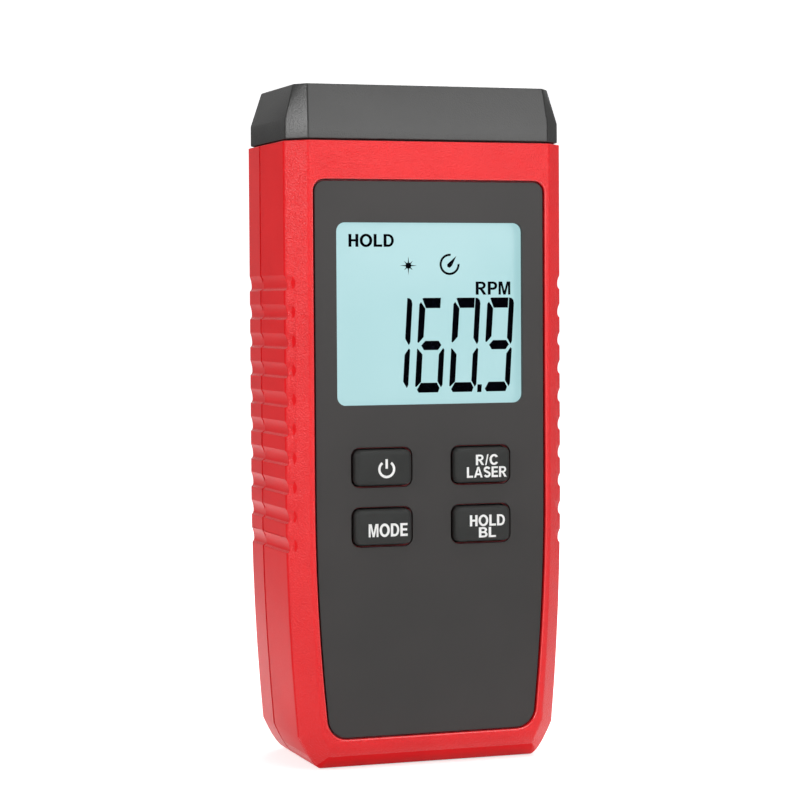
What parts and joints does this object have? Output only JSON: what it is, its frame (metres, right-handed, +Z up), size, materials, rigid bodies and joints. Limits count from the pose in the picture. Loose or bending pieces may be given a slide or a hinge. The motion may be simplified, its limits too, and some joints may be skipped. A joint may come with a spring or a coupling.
{
  "type": "laser tachometer",
  "caption": "Hand-held optical tachometer with a display, rubber keys, grooved grip sides, a sensing cap on top and a battery door at the back.",
  "frame": {"origin": "middle of the object's box, on the surface that the base stands on", "axes": "+Z up the length towards the sensing cap, +Y from the display towards the battery door, +X to the right seen from the front"},
  "size_m": [0.06, 0.034, 0.1391],
  "materials": {
    "red_shell": "moulded plastic with a fine satin texture",
    "grey_cap": "moulded dark grey plastic with a fine texture",
    "grey_panel": "matt dark grey sheet",
    "clear_window": "clear acrylic sheet",
    "display_glass": "pale blue liquid crystal glass",
    "white_acrylic": "white light guide",
    "black_plastic": "moulded black plastic",
    "circuit_board": "green solder mask on fibreglass",
    "key_rubber": "matt silicone rubber",
    "carbon_pill": "carbon-filled rubber",
    "brass": "turned brass",
    "plated_steel": "nickel-plated steel",
    "lens_glass": "polished lens",
    "dark_epoxy": "dark clear epoxy",
    "cell_jacket": "plain coloured jacket over a metal can"
  },
  "bodies": {
    "housing": {"front_shell": "red_shell", "back_shell": "red_shell", "top_cap": "grey_cap", "front_panel": "grey_panel", "display_window": "clear_window", "display_frame": "black_plastic", "lcd_glass": "display_glass", "light_guide": "white_acrylic", "contact_strips": "key_rubber", "main_board": "circuit_board", "controller_chip": "black_plastic", "crystal_can": "plated_steel", "key_mat": "key_rubber", "optics_holder": "black_plastic", "laser_barrel": "brass", "laser_diode": "plated_steel", "laser_lens": "lens_glass", "receiver_lens": "lens_glass", "photodiode": "dark_epoxy", "sensor_board": "circuit_board", "left_cell": "cell_jacket", "middle_cell": "cell_jacket", "right_cell": "cell_jacket", "contact_plates": "plated_steel", "contact_springs": "plated_steel", "case_screws": "plated_steel", "board_screws": "plated_steel"},
    "power_button": {"power_key": "key_rubber", "power_pill": "carbon_pill"},
    "laser_button": {"laser_key": "key_rubber", "laser_pill": "carbon_pill"},
    "mode_button": {"mode_key": "key_rubber", "mode_pill": "carbon_pill"},
    "hold_button": {"hold_key": "key_rubber", "hold_pill": "carbon_pill"},
    "door": {"battery_door": "red_shell"}
  },
  "joints": [
    {"name": "power_press", "type": "slide", "parent": "housing", "child": "power_button", "axis": [0, 1, 0], "range_m": [0, 0.0008], "stiffness_N_per_m": 900},
    {"name": "laser_press", "type": "slide", "parent": "housing", "child": "laser_button", "axis": [0, 1, 0], "range_m": [0, 0.0008], "stiffness_N_per_m": 900},
    {"name": "mode_press", "type": "slide", "parent": "housing", "child": "mode_button", "axis": [0, 1, 0], "range_m": [0, 0.0008], "stiffness_N_per_m": 900},
    {"name": "hold_press", "type": "slide", "parent": "housing", "child": "hold_button", "axis": [0, 1, 0], "range_m": [0, 0.0008], "stiffness_N_per_m": 900},
    {"name": "door_swing", "type": "hinge", "parent": "housing", "child": "door", "pos_m": [0, 0.016, 0.0165], "axis": [-1, 0, 0], "range_deg": [0, 60]}
  ]
}
